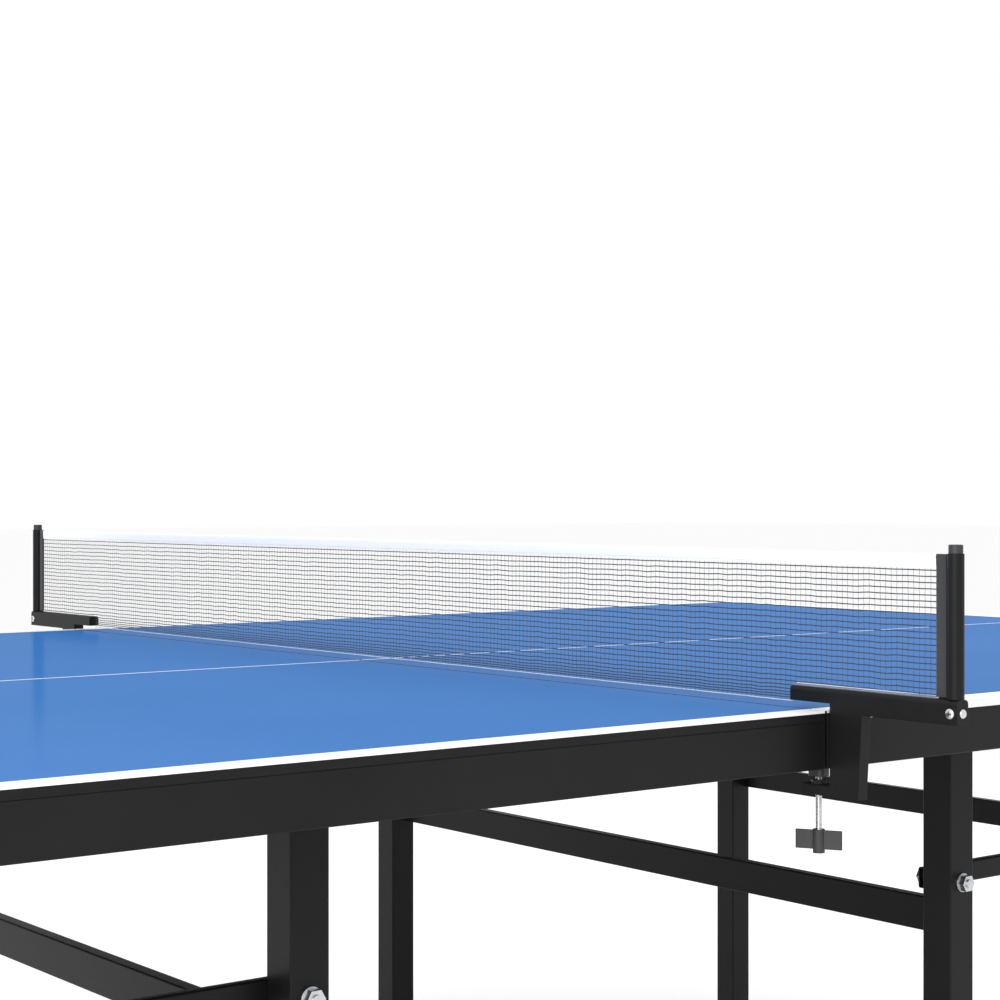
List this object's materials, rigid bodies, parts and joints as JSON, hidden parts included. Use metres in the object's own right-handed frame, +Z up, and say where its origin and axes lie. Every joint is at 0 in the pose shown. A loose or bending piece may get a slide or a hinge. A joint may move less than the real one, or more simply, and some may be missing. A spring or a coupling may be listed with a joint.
{
  "type": "table tennis table",
  "caption": "Folding table tennis table with a split blue top, steel apron, square-tube legs on castors, parallelogram stays and a clamp-on net",
  "frame": {"origin": "on the floor at the middle of the set-up table, under the seam between its halves", "axes": "X along the table's length, from half a to half b, which carries the net; Y across the table, along the net; Z up"},
  "size_m": [2.74, 1.8344, 0.916],
  "materials": {
    "playing_surface": "semi-gloss blue lacquer on a composite board, with blurred reflections",
    "edge_trim_a": "black edge band",
    "edge_trim_b": "white edge band",
    "black_powder_coat": "satin black powder coat with a very fine orange peel",
    "zinc_plated": "bright zinc plate",
    "bright_steel": "polished steel",
    "black_plastic": "moulded black plastic, fine grain",
    "black_rubber": "matt black rubber",
    "castor_tyre": "dark grey solid rubber tread",
    "net_thread": "dark nylon thread net",
    "net_tape": "white woven tape"
  },
  "bodies": {
    "carriage_a": {"inner_leg_frame_a": "black_powder_coat", "tube_caps_a": "black_plastic"},
    "top_a": {"board_a": "playing_surface", "edge_trim_a": "edge_trim_a", "apron_rails_a": "black_powder_coat", "cross_braces_a": "black_powder_coat", "hinge_brackets_a": "black_powder_coat", "hinge_bolts_a": "zinc_plated"},
    "outer_legs_a": {"outer_leg_frame_a": "black_powder_coat"},
    "stay_link_a": {"stays_a": "black_powder_coat", "stay_bolts_a": "zinc_plated"},
    "foot_a_near": {"levelling_foot_a_near": "black_rubber"},
    "swivel_a_near_inner": {"castor_fork_a_near_inner": "zinc_plated"},
    "wheel_a_near_inner": {"castor_wheel_a_near_inner": "castor_tyre"},
    "swivel_a_near_outer": {"castor_fork_a_near_outer": "zinc_plated"},
    "wheel_a_near_outer": {"castor_wheel_a_near_outer": "castor_tyre"},
    "brake_a_near_outer": {"castor_brake_a_near_outer": "black_plastic"},
    "foot_a_far": {"levelling_foot_a_far": "black_rubber"},
    "swivel_a_far_inner": {"castor_fork_a_far_inner": "zinc_plated"},
    "wheel_a_far_inner": {"castor_wheel_a_far_inner": "castor_tyre"},
    "swivel_a_far_outer": {"castor_fork_a_far_outer": "zinc_plated"},
    "wheel_a_far_outer": {"castor_wheel_a_far_outer": "castor_tyre"},
    "brake_a_far_outer": {"castor_brake_a_far_outer": "black_plastic"},
    "carriage_b": {"inner_leg_frame_b": "black_powder_coat", "tube_caps_b": "black_plastic"},
    "top_b": {"board_b": "playing_surface", "edge_trim_b": "edge_trim_b", "apron_rails_b": "black_powder_coat", "cross_braces_b": "black_powder_coat", "hinge_brackets_b": "black_powder_coat", "hinge_bolts_b": "zinc_plated", "clamp_bracket_near": "black_powder_coat", "clamp_bracket_far": "black_powder_coat", "net_post_near": "black_powder_coat", "net_post_far": "black_powder_coat", "post_pins": "black_plastic", "net_mesh": "net_thread", "net_tape": "net_tape", "net_fasteners": "bright_steel"},
    "outer_legs_b": {"outer_leg_frame_b": "black_powder_coat"},
    "stay_link_b": {"stays_b": "black_powder_coat", "stay_bolts_b": "zinc_plated"},
    "foot_b_near": {"levelling_foot_b_near": "black_rubber"},
    "swivel_b_near_inner": {"castor_fork_b_near_inner": "zinc_plated"},
    "wheel_b_near_inner": {"castor_wheel_b_near_inner": "castor_tyre"},
    "swivel_b_near_outer": {"castor_fork_b_near_outer": "zinc_plated"},
    "wheel_b_near_outer": {"castor_wheel_b_near_outer": "castor_tyre"},
    "brake_b_near_outer": {"castor_brake_b_near_outer": "black_plastic"},
    "foot_b_far": {"levelling_foot_b_far": "black_rubber"},
    "swivel_b_far_inner": {"castor_fork_b_far_inner": "zinc_plated"},
    "wheel_b_far_inner": {"castor_wheel_b_far_inner": "castor_tyre"},
    "swivel_b_far_outer": {"castor_fork_b_far_outer": "zinc_plated"},
    "wheel_b_far_outer": {"castor_wheel_b_far_outer": "castor_tyre"},
    "brake_b_far_outer": {"castor_brake_b_far_outer": "black_plastic"},
    "pad_near": {"clamp_pad_near": "black_plastic"},
    "screw_near": {"clamp_screw_near": "bright_steel", "wing_knob_near": "black_plastic"},
    "pad_far": {"clamp_pad_far": "black_plastic"},
    "screw_far": {"clamp_screw_far": "bright_steel", "wing_knob_far": "black_plastic"}
  },
  "joints": [
    {"name": "top_fold_a", "type": "hinge", "parent": "carriage_a", "child": "top_a", "pos_m": [-0.437, 0, 0.728], "axis": [0, 1, 0], "range_deg": [0, 80]},
    {"name": "outer_legs_fold_a", "type": "hinge", "parent": "top_a", "child": "outer_legs_a", "pos_m": [-1.17, 0, 0.728], "axis": [0, 1, 0], "range_deg": [-80, 0]},
    {"name": "stays_fold_a", "type": "hinge", "parent": "carriage_a", "child": "stay_link_a", "pos_m": [-0.437, 0, 0.522], "axis": [0, 1, 0], "range_deg": [0, 80]},
    {"name": "levelling_a_near", "type": "slide", "parent": "outer_legs_a", "child": "foot_a_near", "axis": [0, 0, 1], "range_m": [-0.015, 0.005]},
    {"name": "castor_swivel_a_near_inner", "type": "hinge", "parent": "carriage_a", "child": "swivel_a_near_inner", "pos_m": [-0.237, -0.5445, 0.069], "axis": [0, 0, 1], "continuous": true},
    {"name": "wheel_spin_a_near_inner", "type": "hinge", "parent": "swivel_a_near_inner", "child": "wheel_a_near_inner", "pos_m": [-0.259, -0.5445, 0.03], "axis": [0, 1, 0], "continuous": true},
    {"name": "castor_swivel_a_near_outer", "type": "hinge", "parent": "carriage_a", "child": "swivel_a_near_outer", "pos_m": [-0.637, -0.5445, 0.069], "axis": [0, 0, 1], "continuous": true},
    {"name": "wheel_spin_a_near_outer", "type": "hinge", "parent": "swivel_a_near_outer", "child": "wheel_a_near_outer", "pos_m": [-0.659, -0.5445, 0.03], "axis": [0, 1, 0], "continuous": true},
    {"name": "brake_a_near_outer", "type": "hinge", "parent": "swivel_a_near_outer", "child": "brake_a_near_outer", "pos_m": [-0.683, -0.5445, 0.056], "axis": [0, -1, 0], "range_deg": [0, 14]},
    {"name": "levelling_a_far", "type": "slide", "parent": "outer_legs_a", "child": "foot_a_far", "axis": [0, 0, 1], "range_m": [-0.015, 0.005]},
    {"name": "castor_swivel_a_far_inner", "type": "hinge", "parent": "carriage_a", "child": "swivel_a_far_inner", "pos_m": [-0.237, 0.5445, 0.069], "axis": [0, 0, 1], "continuous": true},
    {"name": "wheel_spin_a_far_inner", "type": "hinge", "parent": "swivel_a_far_inner", "child": "wheel_a_far_inner", "pos_m": [-0.259, 0.5445, 0.03], "axis": [0, 1, 0], "continuous": true},
    {"name": "castor_swivel_a_far_outer", "type": "hinge", "parent": "carriage_a", "child": "swivel_a_far_outer", "pos_m": [-0.637, 0.5445, 0.069], "axis": [0, 0, 1], "continuous": true},
    {"name": "wheel_spin_a_far_outer", "type": "hinge", "parent": "swivel_a_far_outer", "child": "wheel_a_far_outer", "pos_m": [-0.659, 0.5445, 0.03], "axis": [0, 1, 0], "continuous": true},
    {"name": "brake_a_far_outer", "type": "hinge", "parent": "swivel_a_far_outer", "child": "brake_a_far_outer", "pos_m": [-0.683, 0.5445, 0.056], "axis": [0, -1, 0], "range_deg": [0, 14]},
    {"name": "top_fold_b", "type": "hinge", "parent": "carriage_b", "child": "top_b", "pos_m": [0.437, 0, 0.728], "axis": [0, -1, 0], "range_deg": [0, 80]},
    {"name": "outer_legs_fold_b", "type": "hinge", "parent": "top_b", "child": "outer_legs_b", "pos_m": [1.17, 0, 0.728], "axis": [0, -1, 0], "range_deg": [-80, 0]},
    {"name": "stays_fold_b", "type": "hinge", "parent": "carriage_b", "child": "stay_link_b", "pos_m": [0.437, 0, 0.522], "axis": [0, -1, 0], "range_deg": [0, 80]},
    {"name": "levelling_b_near", "type": "slide", "parent": "outer_legs_b", "child": "foot_b_near", "axis": [0, 0, 1], "range_m": [-0.015, 0.005]},
    {"name": "castor_swivel_b_near_inner", "type": "hinge", "parent": "carriage_b", "child": "swivel_b_near_inner", "pos_m": [0.237, -0.5445, 0.069], "axis": [0, 0, 1], "continuous": true},
    {"name": "wheel_spin_b_near_inner", "type": "hinge", "parent": "swivel_b_near_inner", "child": "wheel_b_near_inner", "pos_m": [0.259, -0.5445, 0.03], "axis": [0, 1, 0], "continuous": true},
    {"name": "castor_swivel_b_near_outer", "type": "hinge", "parent": "carriage_b", "child": "swivel_b_near_outer", "pos_m": [0.637, -0.5445, 0.069], "axis": [0, 0, 1], "continuous": true},
    {"name": "wheel_spin_b_near_outer", "type": "hinge", "parent": "swivel_b_near_outer", "child": "wheel_b_near_outer", "pos_m": [0.659, -0.5445, 0.03], "axis": [0, 1, 0], "continuous": true},
    {"name": "brake_b_near_outer", "type": "hinge", "parent": "swivel_b_near_outer", "child": "brake_b_near_outer", "pos_m": [0.683, -0.5445, 0.056], "axis": [0, 1, 0], "range_deg": [0, 14]},
    {"name": "levelling_b_far", "type": "slide", "parent": "outer_legs_b", "child": "foot_b_far", "axis": [0, 0, 1], "range_m": [-0.015, 0.005]},
    {"name": "castor_swivel_b_far_inner", "type": "hinge", "parent": "carriage_b", "child": "swivel_b_far_inner", "pos_m": [0.237, 0.5445, 0.069], "axis": [0, 0, 1], "continuous": true},
    {"name": "wheel_spin_b_far_inner", "type": "hinge", "parent": "swivel_b_far_inner", "child": "wheel_b_far_inner", "pos_m": [0.259, 0.5445, 0.03], "axis": [0, 1, 0], "continuous": true},
    {"name": "castor_swivel_b_far_outer", "type": "hinge", "parent": "carriage_b", "child": "swivel_b_far_outer", "pos_m": [0.637, 0.5445, 0.069], "axis": [0, 0, 1], "continuous": true},
    {"name": "wheel_spin_b_far_outer", "type": "hinge", "parent": "swivel_b_far_outer", "child": "wheel_b_far_outer", "pos_m": [0.659, 0.5445, 0.03], "axis": [0, 1, 0], "continuous": true},
    {"name": "brake_b_far_outer", "type": "hinge", "parent": "swivel_b_far_outer", "child": "brake_b_far_outer", "pos_m": [0.683, 0.5445, 0.056], "axis": [0, 1, 0], "range_deg": [0, 14]},
    {"name": "halves_apart", "type": "slide", "parent": "carriage_b", "child": "carriage_a", "axis": [-1, 0, 0], "range_m": [0, 0.5]},
    {"name": "clamp_travel_near", "type": "slide", "parent": "top_b", "child": "pad_near", "axis": [0, 0, -1], "range_m": [0, 0.003]},
    {"name": "clamp_turn_near", "type": "hinge", "parent": "pad_near", "child": "screw_near", "pos_m": [0.0075, -0.7465, 0.7], "axis": [0, 0, -1], "range_deg": [0, 864]},
    {"name": "clamp_travel_far", "type": "slide", "parent": "top_b", "child": "pad_far", "axis": [0, 0, -1], "range_m": [0, 0.003]},
    {"name": "clamp_turn_far", "type": "hinge", "parent": "pad_far", "child": "screw_far", "pos_m": [0.0075, 0.7465, 0.7], "axis": [0, 0, -1], "range_deg": [0, 864]}
  ],
  "couplings": [
    {"joint": "outer_legs_fold_a", "follows": "top_fold_a", "ratio": -1},
    {"joint": "stays_fold_a", "follows": "top_fold_a", "ratio": 1},
    {"joint": "outer_legs_fold_b", "follows": "top_fold_b", "ratio": -1},
    {"joint": "stays_fold_b", "follows": "top_fold_b", "ratio": 1},
    {"joint": "halves_apart", "follows": "top_fold_b", "m_per_rad": 0.358},
    {"joint": "clamp_turn_near", "follows": "clamp_travel_near", "rad_per_m": 5026.5},
    {"joint": "clamp_turn_far", "follows": "clamp_travel_far", "rad_per_m": 5026.5}
  ]
}
